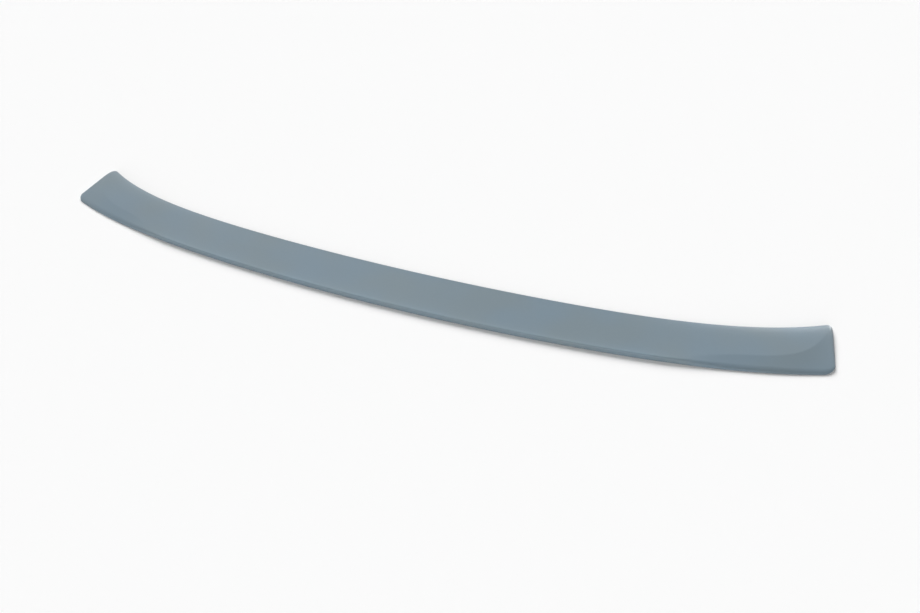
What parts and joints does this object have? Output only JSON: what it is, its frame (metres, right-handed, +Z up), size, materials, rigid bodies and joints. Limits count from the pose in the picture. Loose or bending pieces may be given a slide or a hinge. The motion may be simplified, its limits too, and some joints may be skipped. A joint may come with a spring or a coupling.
{
  "type": "car spoiler",
  "caption": "Low one-piece trunk-lid lip spoiler: bowed in plan, wedge section rising to a rear crest, rounded shoulders and sloping facets at the ends, flat underside with tape channels.",
  "frame": {"origin": "under the middle of the part's bounding box, on the plane of the flat land that bonds to the trunk lid", "axes": "+X along the part from its left end to its right end, +Y to the front of the car (the thin, hollow edge), +Z up from the lid to the crest"},
  "size_m": [1.2, 0.1662, 0.0079],
  "materials": {
    "primer": "matt grey-blue primer over moulded polyurethane"
  },
  "bodies": {
    "root": {"spoiler": "primer"}
  },
  "joints": []
}
